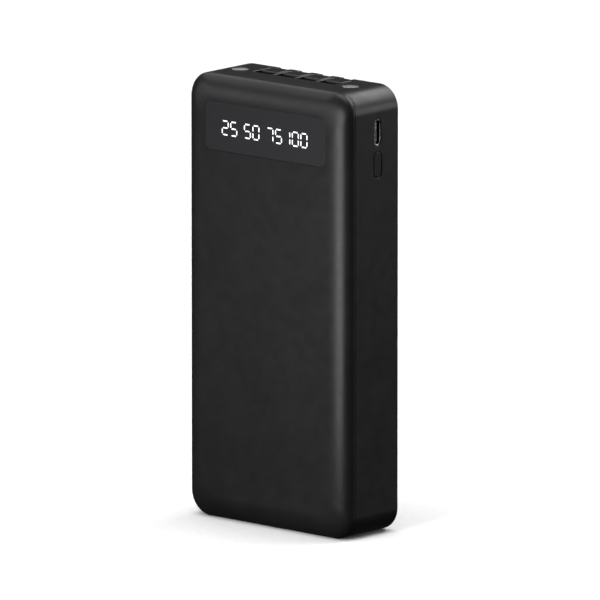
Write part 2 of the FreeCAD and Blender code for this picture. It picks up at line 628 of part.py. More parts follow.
def torches():
    for side, sign in (("left", -1), ("right", 1)):
        place = (f"{sign} * {TORCH_X}", TORCH_Y)
        lens = new_body("TorchLens")
        rod(lens, "Pad", "XY", place, "lens_diameter", (FLANGE_BOTTOM, LENS_TOP))
        rod(lens, "Pad", "XY", place, "flange_diameter", (FLANGE_BOTTOM, INNER_TOP))
        node(lens, "torch_lens_" + side)

        cup = new_body("TorchReflectorCup")
        rod(cup, "Pad", "XY", place, "flange_diameter", (REFLECTOR_BOTTOM, FLANGE_BOTTOM))
        bowl = doc.addObject("Part::Cone", "ReflectorBowl")
        bind(bowl, "Radius1", "reflector_throat / 2")
        bind(bowl, "Radius2", "reflector_mouth / 2")
        bind(bowl, "Height", "reflector_height")
        for axis, text in zip("xyz", place + (REFLECTOR_BOTTOM,)):
            bind(bowl, "Placement.Base." + axis, text)
        node(taken("TorchReflector", cup, bowl), "torch_reflector_" + side)

        node(block("TorchLed", around(place[0], "torch_led_size"), around(place[1], "torch_led_size"),
                   (REFLECTOR_BOTTOM, f"{REFLECTOR_BOTTOM} + torch_led_height")), "torch_led_" + side)

        board = new_body("TorchBoard")
        rod(board, "Pad", "XY", place, "flange_diameter", (TORCH_BOARD_BOTTOM, REFLECTOR_BOTTOM))
        node(board, "torch_board_" + side)


# ---------------------------------------------------------------- port and button

def charging_port():
    mouth = f"({SIDE} - port_recess)"
    rear = f"({mouth} - port_depth)"
    inner_thick = around(PORT_Y, "port_thickness - 2 * port_sheet")
    inner_wide = around(PORT_Z, "port_length - 2 * port_sheet")
    inner_bend = "port_thickness / 2 - port_sheet - tip_flat"
    shell = new_body("PortShell")
    prism(shell, "Pad", "YZ", around(PORT_Y, "port_thickness"), around(PORT_Z, "port_length"),
          (rear, mouth), "port_thickness / 2 - tip_flat")
    prism(shell, "Pocket", "YZ", inner_thick, inner_wide, (rear, mouth), inner_bend)
    node(shell, "usb_c_port_shell")

    tongue = new_body("PortTongue")
    step = f"({mouth} - tongue_recess - tongue_reach)"
    tip = f"({mouth} - tongue_recess)"
    prism(tongue, "Pad", "YZ", inner_thick, inner_wide, (rear, step), inner_bend)
    prism(tongue, "Pad", "YZ", around(PORT_Y, "tongue_thickness"), around(PORT_Z, "tongue_length"),
          (f"{step} - sink", tip))
    node(tongue, "usb_c_port_tongue")

    contacts = []
    for column in range(12):
        for sign in (-1, 1):
            face = f"{PORT_Y} + {sign} * (tongue_thickness + contact_thickness) / 2"
            contacts.append(block("PortContact", (step, f"{tip} - port_sheet"),
                                  around(face, "contact_thickness"),
                                  around(f"{PORT_Z} + ({column} - 5.5) * contact_pitch", "contact_width")))
    node(group("PortContacts", contacts), "usb_c_port_contacts")


def power_button():
    face = f"({SIDE} - button_recess)"
    rim_outer = f"({INNER_SIDE} - rim_gap)"
    rim_inner = f"({rim_outer} - button_rim_depth)"
    middle = (PORT_Y, BUTTON_Z)
    cap = new_body("PowerButton")
    prism(cap, "Pad", "YZ", around(PORT_Y, "button_width"), around(BUTTON_Z, "button_length"),
          (rim_inner, face), "button_width / 2 - tip_flat")
    soften(cap, "button_edge", lies_at("X", face))
    prism(cap, "Pad", "YZ", around(PORT_Y, "button_width + 2 * button_rim"),
          around(BUTTON_Z, "button_length + 2 * button_rim"), (rim_inner, rim_outer),
          "button_width / 2 + button_rim - tip_flat")
    node(cap, "power_button")

    plunger = new_body("SwitchPlunger")
    rod(plunger, "Pad", "YZ", middle, "plunger_diameter", (f"{rim_inner} - plunger_length", rim_inner))
    node(plunger, "switch_plunger")

    front = f"({rim_inner} - button_travel - fit_gap)"
    switch = new_body("TactSwitch")
    prism(switch, "Pad", "XZ", (f"{front} - switch_depth", front), around(BUTTON_Z, "switch_length"),
          (BOARD_REAR, f"{BOARD_REAR} + switch_height"))
    rod(switch, "Pocket", "YZ", middle, "plunger_diameter + 2 * rim_gap",
        (f"{rim_inner} - plunger_length - button_travel - fit_gap", f"{front} + sink"))
    node(switch, "tact_switch")


# ---------------------------------------------------------------- main board

# Places across the width, clear of the screws and of each other.
INDUCTOR_PLACES = (-7.0, 1.5)
CHIP_PLACES = (-18.0, 8.5)
CAPACITOR_PLACES = (-24.0, 17.5)


def main_board():
    board = new_body("MainBoard")
    deep = (BOARD_FRONT, BOARD_REAR)
    edge = f"({INNER_SIDE} - board_side_gap)"
    prism(board, "Pad", "XZ", (f"-{edge}", edge), (BOARD_BOTTOM, BOARD_TOP), deep, "wall / 2")
    prism(board, "Pad", "XZ", (TONGUE_LEFT, edge), (f"{BOARD_BOTTOM} + sink", TONGUE_TOP), deep, "wall / 2")
    for place in SCREWS:
        rod(board, "Pocket", "XZ", place, "screw_diameter + 2 * fit_gap", deep)
    node(board, "main_board")

    screws = []
    for place in SCREWS:
        screw = new_body("BoardScrew")
        rod(screw, "Pad", "XZ", place, "screw_head", (f"{BOARD_FRONT} - screw_head_height", BOARD_FRONT))
        rod(screw, "Pad", "XZ", place, "screw_diameter",
            (f"{BOARD_FRONT} - screw_head_height", f"{BOARD_REAR} + screw_length - sink"))
        screws.append(screw)
    node(group("BoardScrews", screws), "board_screws")

    middle = f"(({BOARD_BOTTOM} + {BOARD_TOP}) / 2)"
    inductors = []
    for x in INDUCTOR_PLACES:
        inductor = new_body("Inductor")
        prism(inductor, "Pad", "XZ", around(x, "inductor_size"), around(middle, "inductor_size"),
              (f"{BOARD_FRONT} - inductor_height", BOARD_FRONT), "wall / 2")
        inductors.append(inductor)
    node(group("Inductors", inductors), "power_inductors")

    chips = [block("Chip", around(x, "chip_size"), (f"{BOARD_FRONT} - chip_height", BOARD_FRONT),
                   around(middle, "chip_size")) for x in CHIP_PLACES]
    node(group("Chips", chips), "control_chips")

    cans = []
    for x in CAPACITOR_PLACES:
        can = new_body("Capacitor")
        rod(can, "Pad", "XZ", (x, middle), "capacitor_diameter",
            (f"{BOARD_FRONT} - capacitor_length", BOARD_FRONT))
        cans.append(can)
    node(group("Capacitors", cans), "capacitors")


# ---------------------------------------------------------------- cells

def cells():
    for label, deep in (("cell_rear", (REAR_CELL_FRONT, f"{REAR_CELL_FRONT} + {CELL_THICKNESS}")),
                        ("cell_front", (FRONT_CELL_FRONT, FRONT_CELL_REAR))):
        cell = new_body("Cell")
        prism(cell, "Pad", "XY", around("0", CELL_WIDTH), deep, ("cell_bottom", CELL_TOP), "cell_radius")
        node(cell, label)
    up = around(f"cell_bottom + {CELL_HEIGHT} / 2", f"{CELL_HEIGHT} - 2 * pad_inset")
    across = around("0", f"{CELL_WIDTH} - 2 * pad_inset")
    node(block("CellTape", across, (FRONT_CELL_REAR, REAR_CELL_FRONT), up), "cell_tape")
    node(block("FoamPad", across, (f"{FRONT_CELL_FRONT} - foam_thickness", FRONT_CELL_FRONT), up),
         "foam_pad")
    tabs = []
    for middle in CELL_MIDDLES:
        for sign in (-1, 1):
            tabs.append(block("CellTab", around(f"{sign} * tab_x", "tab_width"),
                              around(middle, "tab_thickness"), (CELL_TOP, f"{CELL_TOP} + tab_height")))
    node(group("CellTabs", tabs), "cell_tabs")


# ---------------------------------------------------------------- wires

def wires():
    side_lane = f"(({INNER_SIDE} + {CELL_WIDTH} / 2) / 2)"
    rear_lane = f"({INNER_BACK} - root_flange - fit_gap - harness_diameter / 2)"
    floor_lane = "(root_bottom + root_neck_height)"
    board_lane = f"({BOARD_TOP} - board_lane_drop)"
    end_lane = f"({SIDE} - harness_inset)"
    tab_end = f"({CELL_TOP} + tab_height)"
    turn = f"({tab_end} + wire_rise)"
    ends = ((BOARD_REAR, CELL_MIDDLES[0]), (BOARD_FRONT, CELL_MIDDLES[1]))
    for side, sign in (("left", -1), ("right", 1)):
        wire_node(f"lead_harness_{side}", [[
            (f"{sign} * bay_pitch / 2", rear_lane, floor_lane),
            (f"{sign} * {side_lane}", rear_lane, floor_lane),
            (f"{sign} * {side_lane}", rear_lane, board_lane),
            (f"{sign} * {end_lane}", rear_lane, board_lane),
            (f"{sign} * {end_lane}", BOARD_REAR, board_lane),
        ]], "harness_diameter", "harness_bend")
        wire_node(f"battery_wires_{side}", [[
            (f"{sign} * tab_x", cell, tab_end),
            (f"{sign} * tab_x", cell, turn),
            (f"{sign} * tab_x", board, turn),
        ] for board, cell in ends], "wire_diameter", "wire_bend")

    offset = f"({TORCH_X} + torch_wire_offset)"
    lane = f"({TORCH_Y} + torch_wire_rise)"
    side_turn = f"({SIDE} - side_lane_inset)"
    wire_node("torch_wires_right", [[
        (offset, lane, TORCH_BOARD_BOTTOM),
        (offset, lane, f"{TORCH_BOARD_BOTTOM} - 2 * torch_wire_bend"),
        (offset, BOARD_REAR, f"{TORCH_BOARD_BOTTOM} - 2 * torch_wire_bend"),
    ]], "wire_diameter", "torch_wire_bend")
    wire_node("torch_wires_left", [[
        (f"-{offset}", lane, TORCH_BOARD_BOTTOM),
        (f"-{offset}", lane, f"{TORCH_BOARD_BOTTOM} - wire_rise"),
        (f"-{side_turn}", lane, f"{TORCH_BOARD_BOTTOM} - 3 * wire_rise"),
        (f"-{side_turn}", lane, board_lane),
        (f"-{side_turn}", BOARD_REAR, board_lane),
    ]], "wire_diameter", "torch_wire_bend")


# ---------------------------------------------------------------- build

for make in (front_cover, main_housing, window_and_guide, display_electronics, plugs, leads, torches,
             charging_port, power_button, main_board, cells, wires):
    make()
doc.recompute()

for item in doc.Objects:
    if "Invalid" in item.State or "Error" in item.State:
        raise ValueError(f"{item.Label} failed: {item.State}")
for item in nodes:
    if item.Shape.isNull() or not item.Shape.isValid() or item.Shape.Volume <= 0:
        raise ValueError(f"{item.Label} has no sound shape")

os.makedirs("parts", exist_ok=True)
for item in nodes:
    item.Shape.exportStep(f"parts/{item.Label}.step")
    print(f"{item.Label}: {len(item.Shape.Solids)} solid(s), {item.Shape.Volume:.1f} mm3")
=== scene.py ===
import bmesh
import bpy
from math import cos, pi, radians, sin
from mathutils import Matrix, Vector


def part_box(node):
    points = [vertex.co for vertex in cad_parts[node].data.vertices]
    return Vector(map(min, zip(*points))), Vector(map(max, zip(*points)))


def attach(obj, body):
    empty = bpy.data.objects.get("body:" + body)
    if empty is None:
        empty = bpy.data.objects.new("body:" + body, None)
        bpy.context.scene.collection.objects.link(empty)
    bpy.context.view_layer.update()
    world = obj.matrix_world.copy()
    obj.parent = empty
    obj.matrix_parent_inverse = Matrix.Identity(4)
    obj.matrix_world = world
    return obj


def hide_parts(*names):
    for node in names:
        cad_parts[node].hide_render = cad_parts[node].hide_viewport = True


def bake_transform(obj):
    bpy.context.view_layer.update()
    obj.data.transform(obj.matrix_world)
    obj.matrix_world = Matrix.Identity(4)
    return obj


# A pocket power bank standing on its lower end: a two-part black case, a lit percentage display,
# two torches and four stowed plugs in the top, a charging port and a power button in the right side.

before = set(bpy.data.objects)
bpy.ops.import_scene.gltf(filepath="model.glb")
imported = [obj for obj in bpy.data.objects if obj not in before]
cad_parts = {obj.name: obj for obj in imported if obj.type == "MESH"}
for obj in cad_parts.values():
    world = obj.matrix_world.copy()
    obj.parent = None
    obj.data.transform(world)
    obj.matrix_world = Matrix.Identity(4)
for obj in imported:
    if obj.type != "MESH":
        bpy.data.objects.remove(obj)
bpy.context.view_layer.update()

# ---------------------------------------------------------------- studio
# The power bank stands on pale card that isn't mirrored in its case. A small strip light stands close in
# front, broad softboxes further off at the left, at the back and overhead, and the room itself is dim.
# The camera looks slightly down at the right corner.
looked_at = Vector((0, 0, 0.077))
camera_turn = 41.426
camera_rise = 11.281
camera_far = 4.841
camera_lens = 854
shift_right = 0.002828
shift_up = 0.000318
room_glow = 0.028
floor_radius = 1.6


def toward(turn, rise):
    """The way from the case to something this many degrees round from the front to the right, and up."""
    turn, rise = radians(turn), radians(rise)
    return Vector((sin(turn) * cos(rise), -cos(turn) * cos(rise), sin(rise)))


toward_camera = toward(camera_turn, camera_rise)
camera_right = toward(camera_turn + 90, 0)
camera_up = toward_camera.cross(camera_right)
camera = bpy.data.objects.new("studio_camera", bpy.data.cameras.new("studio_camera"))
camera.data.sensor_width = 36
camera.data.lens = camera_lens
camera.data.clip_start = 0.1
camera.data.clip_end = 20
camera.location = looked_at + toward_camera * camera_far + camera_right * shift_right + camera_up * shift_up
camera.rotation_euler = (-toward_camera).to_track_quat("-Z", "Y").to_euler()
bpy.context.collection.objects.link(camera)
bpy.context.scene.camera = camera
bpy.context.scene.view_settings.view_transform = "Standard"


def clear_selection():
    bpy.ops.object.select_all(action="DESELECT")


def softbox(name, turn, rise, far, wide, tall, strength):
    """A rectangular light aimed at the case, which the camera doesn't see."""
    lamp = bpy.data.lights.new(name, "AREA")
    lamp.shape = "RECTANGLE"
    lamp.size = wide
    lamp.size_y = tall
    lamp.energy = strength * wide * tall * pi
    light = bpy.data.objects.new(name, lamp)
    light.location = looked_at + toward(turn, rise) * far
    light.rotation_euler = toward(turn, rise).to_track_quat("Z", "Y").to_euler()
    light.visible_camera = False
    bpy.context.collection.objects.link(light)


softbox("front_strip", turn=13, rise=6, far=0.16, wide=0.07, tall=0.18, strength=7.0)
softbox("front_left_softbox", turn=-40, rise=9, far=2.2, wide=2.0, tall=0.75, strength=2.3)
softbox("left_softbox", turn=-86, rise=45, far=1.5, wide=2.1, tall=0.6, strength=1.7)
softbox("back_softbox", turn=166, rise=42, far=1.5, wide=1.35, tall=0.55, strength=6.0)
softbox("right_back_softbox", turn=150, rise=8, far=2.0, wide=1.7, tall=0.6, strength=3.6)
softbox("overhead_softbox", turn=0, rise=90, far=2.6, wide=2.2, tall=2.2, strength=3.5)

room = bpy.data.worlds.new("dim_room")
room.use_nodes = True
room_nodes = room.node_tree.nodes
room_links = room.node_tree.links
dim = room_nodes["Background"]
bright = room_nodes.new("ShaderNodeBackground")
dim.inputs["Color"].default_value = (1, 1, 1, 1)
dim.inputs["Strength"].default_value = room_glow
bright.inputs["Color"].default_value = (1, 1, 1, 1)
seen = room_nodes.new("ShaderNodeLightPath")
either = room_nodes.new("ShaderNodeMixShader")
room_links.new(seen.outputs["Is Camera Ray"], either.inputs["Fac"])
room_links.new(dim.outputs[0], either.inputs[1])
room_links.new(bright.outputs[0], either.inputs[2])
room_links.new(either.outputs[0], room_nodes["World Output"].inputs["Surface"])
bpy.context.scene.world = room


def new_finish(name):
    """A new surface finish: its material, its shader and the piece's own coordinates."""
    finish = bpy.data.materials.new(name)
    finish.use_nodes = True
    nodes = finish.node_tree.nodes
    place = nodes.new("ShaderNodeTexCoord").outputs["Object"]
    return finish, nodes["Principled BSDF"], place


def feed(finish, output, socket):
    finish.node_tree.links.new(output, socket)


def cloud(finish, place, scale, detail=2.0):
    """A soft random pattern from 0 to 1 with this many patches to the metre."""
    noise = finish.node_tree.nodes.new("ShaderNodeTexNoise")
    noise.inputs["Scale"].default_value = scale
    noise.inputs["Detail"].default_value = detail
    feed(finish, place, noise.inputs["Vector"])
    return noise.outputs["Fac"]


def spread(finish, pattern, low, high, start=0.3, stop=0.7):
    """The pattern's values from start to stop, spread over low to high."""
    ranged = finish.node_tree.nodes.new("ShaderNodeMapRange")
    for socket, value in zip(ranged.inputs[1:5], (start, stop, low, high)):
        socket.default_value = value
    feed(finish, pattern, ranged.inputs["Value"])
    return ranged.outputs["Result"]


def tinted(finish, pattern, first, second, start=0.3, stop=0.7):
    """The pattern turned into colour, from the first colour to the second."""
    ramp = finish.node_tree.nodes.new("ShaderNodeValToRGB")
    for point, position, tint in zip(ramp.color_ramp.elements, (start, stop), (first, second)):
        point.position = position
        point.color = (*tint, 1)
    feed(finish, pattern, ramp.inputs["Fac"])
    return ramp.outputs["Color"]


def raised(finish, pattern, depth, under=None):
    """The surface raised by up to this many metres where the pattern is high."""
    bump = finish.node_tree.nodes.new("ShaderNodeBump")
    bump.inputs["Distance"].default_value = depth
    feed(finish, pattern, bump.inputs["Height"])
    if under:
        feed(finish, under, bump.inputs["Normal"])
    return bump.outputs["Normal"]


def colour(finish, shader, pattern, first, second, start=0.3, stop=0.7):
    feed(finish, tinted(finish, pattern, first, second, start, stop), shader.inputs["Base Color"])


def roughen(finish, shader, pattern, low, high):
    feed(finish, spread(finish, pattern, low, high), shader.inputs["Roughness"])


def emboss(finish, shader, pattern, depth, under=None):
    feed(finish, raised(finish, pattern, depth, under), shader.inputs["Normal"])


card, shader, place = new_finish("pale_card")
colour(card, shader, cloud(card, place, 400), (0.86, 0.86, 0.86), (0.9, 0.9, 0.9))
roughen(card, shader, cloud(card, place, 90), 0.75, 0.95)
shader.inputs["Specular IOR Level"].default_value = 0.0
clear_selection()
bpy.ops.mesh.primitive_circle_add(vertices=96, radius=floor_radius, fill_type="NGON")
floor = bpy.context.object
floor.name = "studio_floor"
floor.data.materials.append(card)
floor.visible_glossy = False
floor.visible_diffuse = False

# ---------------------------------------------------------------- back housing
# The rear shell: an injection-moulded black ABS tray with satin spark-eroded faces. Moulded into it are
# the four plug bays and their lead grooves, the torch holes, and the port and button openings.
mm = 0.001
tiny = 0.02 * mm
wall = 2.0 * mm
back_wall = 3.0 * mm
corner_radius = 8.0 * mm
back_edge = 1.2 * mm
seam_edge = 0.15 * mm
mouth_edge = 0.15 * mm
notch_edge = 0.2 * mm
bays_side = 5.5 * mm
bays_front = -0.3 * mm
bays_back = 11.5 * mm
bays_bottom = 130.3 * mm
bays_top = 152.5 * mm
bay_half = 4.25 * mm
bay_front = 0.9 * mm
bay_back = 11.2 * mm
bay_ledge = 138.7 * mm
bay_radius = 0.8 * mm
well_half = 2.85 * mm
well_front = 1.2 * mm
well_back = 10.9 * mm
well_bottom = 131.6 * mm
well_top = 139 * mm
notch_half = 2.45 * mm
notch_front = 10.5 * mm
notch_bottom = 151.8 * mm
notch_past = 0.7 * mm
groove_floor = 11.9 * mm
groove_bottom = 3.4 * mm
groove_top = 153 * mm
hole_radius = 3.0 * mm
hole_bottom = 150 * mm
opening_inner = 33 * mm
port_hole = (1.72 * mm, 4.57 * mm)
button_hole = (2.15 * mm, 4.65 * mm)
nearly = 0.999
bay_numbers = (1, 2, 3, 4)
housing_low, housing_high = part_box("main_housing")
bay_centres = [sum(corner.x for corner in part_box(f"plug_grip_{i}")) / 2 for i in bay_numbers]


def block(name, low, high):
    """A plain block between two corners, the start of a moulded piece."""
    low, high = Vector(low), Vector(high)
    clear_selection()
    bpy.ops.mesh.primitive_cube_add(size=1, location=(low + high) / 2)
    piece = bpy.context.object
    piece.name = name
    piece.scale = high - low
    bpy.ops.object.transform_apply(location=True, rotation=True, scale=True)
    return piece


def rod(name, middle, radius, low, high, sides=48):
    """An upright round bar on a middle point, from one height to another."""
    clear_selection()
    bpy.ops.mesh.primitive_cylinder_add(
        vertices=sides, radius=radius, depth=high - low, location=(middle[0], middle[1], (low + high) / 2))
    piece = bpy.context.object
    piece.name = name
    bpy.ops.object.transform_apply(location=True, rotation=True, scale=True)
    return piece


def work_on(piece):
    clear_selection()
    bpy.context.view_layer.objects.active = piece
    piece.select_set(True)


def pick(piece, kind, test):
    """Opens the piece for shaping, with only the edges or faces that pass the test selected."""
    work_on(piece)
    bpy.ops.object.mode_set(mode="EDIT")
    bpy.ops.mesh.select_mode(type=kind)
    bpy.ops.mesh.select_all(action="DESELECT")
    shape = bmesh.from_edit_mesh(piece.data)
    for item in shape.edges if kind == "EDGE" else shape.faces:
        item.select_set(test(item))
    shape.select_flush_mode()
    bmesh.update_edit_mesh(piece.data)


def done():
    bpy.ops.object.mode_set(mode="OBJECT")


def along(axis):
    """Edges that run along an axis: 0 across, 1 front to back, 2 up."""
    return lambda edge: abs((edge.verts[1].co - edge.verts[0].co).normalized()[axis]) > nearly


def level(axis, value):
    """Edges or faces that lie in one plane across an axis."""
    return lambda item: all(abs(vert.co[axis] - value) < tiny for vert in item.verts)


def facing(axis, sign):
    """Faces that look one way along an axis."""
    return lambda face: face.normal[axis] * sign > nearly


def round_edges(piece, test, radius, steps):
    pick(piece, "EDGE", test)
    bpy.ops.mesh.bevel(offset=radius, segments=steps, affect="EDGES")
    done()


def push(x, y, z):
    """Extrudes what is selected by this much, and keeps the new end selected."""
    bpy.ops.mesh.extrude_region_move(TRANSFORM_OT_translate={"value": (x, y, z)})


def stretch(x, y, z, centre):
    bpy.ops.transform.resize(value=(x, y, z), center_override=centre)


def combine(piece, other, how="DIFFERENCE"):
    """Cuts the other shape out of the piece, or with UNION welds it on."""
    work_on(piece)
    bpy.ops.object.modifier_add(type="BOOLEAN")
    step = piece.modifiers[-1]
    step.operation = how
    step.solver = "EXACT"
    step.object = other
    bpy.ops.object.modifier_apply(modifier=step.name)
    bpy.data.objects.remove(other, do_unlink=True)


def flare(piece, axis, end, size):
    """Widens the high end of a cutter, so that the mouth that it leaves has a softened edge."""
    pick(piece, "FACE", level(axis, end))
    move = [0, 0, 0]
    move[axis] = size
    push(*move)
    low, high = (Vector(c) for c in (piece.bound_box[0], piece.bound_box[6]))
    scale = [1 + 2 * size / (high[i] - low[i]) if i != axis else 1 for i in range(3)]
    stretch(*scale, (low + high) / 2)
    push(*move)
    push(*move)
    done()


def smooth(piece, angle=32):
    """Smooth shading that keeps the crisp edges and the flat faces flat."""
    work_on(piece)
    bpy.ops.object.shade_smooth_by_angle(angle=radians(angle))
    bpy.ops.object.modifier_add(type="WEIGHTED_NORMAL")
    piece.modifiers[-1].keep_sharp = True
    bpy.ops.object.modifier_apply(modifier=piece.modifiers[-1].name)


def fit(piece, body, slot, finish, *nodes):
    """Gives the piece its finish, its moving body and the nodes that it stands for. The slot is not used."""
    piece.data.materials.clear()
    piece.data.materials.append(finish)
    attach(piece, body)
    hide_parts(*nodes)


def moulded(name, dark, light, roughness, gloss, grain_depth):
    """Spark-eroded moulded plastic: fine grain, faint flow marks, and edges rubbed a little brighter."""
    finish, shader, place = new_finish(name)
    nodes = finish.node_tree.nodes
    rounded = nodes.new("ShaderNodeBevel")
    rounded.samples = 4
    rounded.inputs["Radius"].default_value = 0.4 * mm
    flatness = nodes.new("ShaderNodeVectorMath")
    flatness.operation = "DOT_PRODUCT"
    feed(finish, rounded.outputs["Normal"], flatness.inputs[0])
    feed(finish, nodes.new("ShaderNodeNewGeometry").outputs["Normal"], flatness.inputs[1])
    edge = spread(finish, flatness.outputs["Value"], 0, 1, start=0.995, stop=0.9)
    rubbed = spread(finish, cloud(finish, place, 700, 4), 0, 0.8, start=0.45, stop=0.65)
    patchy = nodes.new("ShaderNodeMath")
    patchy.operation = "MULTIPLY"
    feed(finish, edge, patchy.inputs[0])
    feed(finish, rubbed, patchy.inputs[1])
    worn = nodes.new("ShaderNodeMix")
    worn.data_type = "RGBA"
    feed(finish, patchy.outputs[0], worn.inputs["Factor"])
    feed(finish, tinted(finish, cloud(finish, place, 55, 3), dark, light), worn.inputs[6])
    worn.inputs[7].default_value = (*(min(2.5 * part, 0.9) for part in light), 1)
    feed(finish, worn.outputs[2], shader.inputs["Base Color"])
    roughen(finish, shader, cloud(finish, place, 240, 4), roughness - 0.04, roughness + 0.04)
    grain = raised(finish, cloud(finish, place, 4200, 3), grain_depth)
    emboss(finish, shader, cloud(finish, place, 1300, 2), grain_depth, grain)
    shader.inputs["Specular IOR Level"].default_value = gloss
    return finish


case_dark = (0.0095, 0.0095, 0.0098)
case_light = (0.0125, 0.0125, 0.0128)
case_black = moulded("case_black_abs", case_dark, case_light, 0.38, 0.3, 0.0035 * mm)

housing = block("back_housing", housing_low, housing_high)
round_edges(housing, along(1), corner_radius, 24)
round_edges(housing, level(1, housing_high.y), back_edge, 6)
round_edges(housing, level(1, housing_low.y), seam_edge, 2)
pick(housing, "FACE", facing(1, -1))
bpy.ops.mesh.inset(thickness=wall, use_even_offset=True)
push(0, housing_high.y - back_wall - housing_low.y, 0)
done()

bays = block("bays", (bay_centres[0] - bays_side, bays_front, bays_bottom),
             (bay_centres[-1] + bays_side, bays_back, bays_top))
combine(housing, bays, "UNION")
bay_mouth = housing_high.z - mouth_edge
notch_mouth = housing_high.z - notch_edge
groove_mouth = housing_high.y - notch_edge
for x in bay_centres:
    bay = block("bay", (x - bay_half, bay_front, bay_ledge), (x + bay_half, bay_back, bay_mouth))
    round_edges(bay, along(2), bay_radius, 5)
    flare(bay, 2, bay_mouth, mouth_edge)
    combine(housing, bay)
    well = block("tip_well", (x - well_half, well_front, well_bottom), (x + well_half, well_back, well_top))
    combine(housing, well)
    notch = block("notch", (x - notch_half, notch_front, notch_bottom),
                  (x + notch_half, housing_high.y + notch_past, notch_mouth))
    flare(notch, 2, notch_mouth, notch_edge)
    combine(housing, notch)
    groove = block("groove", (x - notch_half, groove_floor, groove_bottom),
                   (x + notch_half, groove_mouth, groove_top))
    round_edges(groove, lambda edge: along(1)(edge) and edge.verts[0].co.z < 2 * groove_bottom,
                bay_radius, 5)
    flare(groove, 1, groove_mouth, notch_edge)
    combine(housing, groove)
for side in ("left", "right"):
    lens_low, lens_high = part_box(f"torch_lens_{side}")
    hole = rod("hole", (lens_low + lens_high) / 2, hole_radius, hole_bottom, notch_mouth, 64)
    flare(hole, 2, notch_mouth, notch_edge)
    combine(housing, hole)
port_low, port_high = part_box("usb_c_port_shell")
port_y = (port_low.y + port_high.y) / 2
port_z = (port_low.z + port_high.z) / 2
button_low, button_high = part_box("power_button")
button_z = (button_low.z + button_high.z) / 2
side_mouth = housing_high.x - mouth_edge
for z, (half_wide, half_tall) in ((port_z, port_hole), (button_z, button_hole)):
    opening = block("opening", (opening_inner, port_y - half_wide, z - half_tall),
                    (side_mouth, port_y + half_wide, z + half_tall))
    round_edges(opening, along(0), half_wide * nearly, 12)
    flare(opening, 0, side_mouth, mouth_edge)
    combine(housing, opening)
smooth(housing)
fit(housing, "case", "case_black", case_black, "main_housing")

# ---------------------------------------------------------------- front cover
# The front shell: the same black ABS, a flat face that rolls down to the seam all round in a soft
# pillow edge. Its rear lip slips into the housing, and the window is let into a recess near the top.
seam_gap = 0.2 * mm
edge_run = 8.4 * mm
edge_drop = 4.6 * mm
edge_steps = 18
lip_outset = 2.1 * mm
lip_wall = 1.0 * mm
lip_depth = 1.6 * mm
cover_hollow = 2.9 * mm
seat_gap = 0.1 * mm
seat_radius = 2.5 * mm
light_half = 22.9 * mm
light_bottom = 130.6 * mm
light_top = 142.6 * mm
light_front = -14 * mm
light_back = -11 * mm
cover_low, cover_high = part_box("front_cover")
window_low, window_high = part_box("display_window")
seam = housing_low.y - seam_gap
half_width = (cover_high.x - cover_low.x) / 2
half_height = (cover_high.z - cover_low.z) / 2
cover_middle = (cover_low + cover_high) / 2
cover = block("front_shell", (cover_low.x, cover_low.y + edge_drop, cover_low.z),
              (cover_high.x, seam, cover_high.z))
round_edges(cover, along(1), corner_radius, 24)
pick(cover, "FACE", facing(1, -1))
turn = pi / 2 / edge_steps
before = 0
for step in range(1, edge_steps + 1):
    inset = edge_run * (1 - cos(turn * step))
    push(0, -edge_drop * (sin(turn * step) - sin(turn * (step - 1))), 0)
    across = (half_width - inset) / (half_width - before)
    up = (half_height - inset) / (half_height - before)
    stretch(across, 1, up, cover_middle)
    before = inset
done()
pick(cover, "FACE", facing(1, 1))
bpy.ops.mesh.inset(thickness=lip_outset, use_even_offset=True)
bpy.ops.mesh.inset(thickness=lip_wall, use_even_offset=True)
push(0, -cover_hollow, 0)
done()


def lip_face(face):
    """The ring of the seam face that the lip stands on."""
    middle = face.calc_center_median() - cover_middle
    inside = max(abs(middle.x) / (half_width - lip_outset), abs(middle.z) / (half_height - lip_outset)) < 1
    return facing(1, 1)(face) and abs(middle.y + cover_middle.y - seam) < tiny and inside


pick(cover, "FACE", lip_face)
push(0, lip_depth, 0)
done()
seat = block("seat", (window_low.x - seat_gap, cover_low.y - mm, window_low.z - seat_gap),
             (window_high.x + seat_gap, window_high.y + seat_gap, window_high.z + seat_gap))
round_edges(seat, along(1), seat_radius, 12)
combine(cover, seat)
light_opening = block("light_opening", (-light_half, light_front, light_bottom),
                      (light_half, light_back, light_top))
combine(cover, light_opening)
smooth(cover)
fit(cover, "case", "case_black", case_black, "front_cover")

# ---------------------------------------------------------------- display
# A smoked acrylic window with a matte hard coat, glued flush into the cover. Behind it a white light
# guide carries four numbers in bars, lit by small lamps, so that they glow through slots in the window.
digit_high = 5.4 * mm
digit_wide = 3.4 * mm
digit_pitch = 3.87 * mm
stroke = 0.44 * mm
bar_gap = 0.3 * mm
bar_inset = 0.35 * mm
bar_depth = 1.2 * mm
bar_point = stroke * 0.42
bar_tip = stroke * 0.12
slot_gap = 0.03 * mm
slot_past = 0.4 * mm
row_margin = 1.0 * mm
window_radius = 2.4 * mm
window_edge = 0.1 * mm
guide_radius = 0.5 * mm
guide_low, guide_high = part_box("digit_light_guide")
row_left = guide_low.x + row_margin
row_middle = (guide_low.z + guide_high.z) / 2
number_starts = {"25": 0, "50": 10.06 * mm, "75": 20.26 * mm, "100": 27.86 * mm}
lit = {"0": "abcdef", "1": "bc", "2": "abdeg", "5": "acdfg", "7": "abc"}
arm = digit_wide / 2 - bar_inset
leg = digit_high / 2 - bar_inset
bars = {
    "a": ("flat", 0, leg), "g": ("flat", 0, 0), "d": ("flat", 0, -leg),
    "b": ("upright", arm, leg / 2), "c": ("upright", arm, -leg / 2),
    "f": ("upright", -arm, leg / 2), "e": ("upright", -arm, -leg / 2),
}


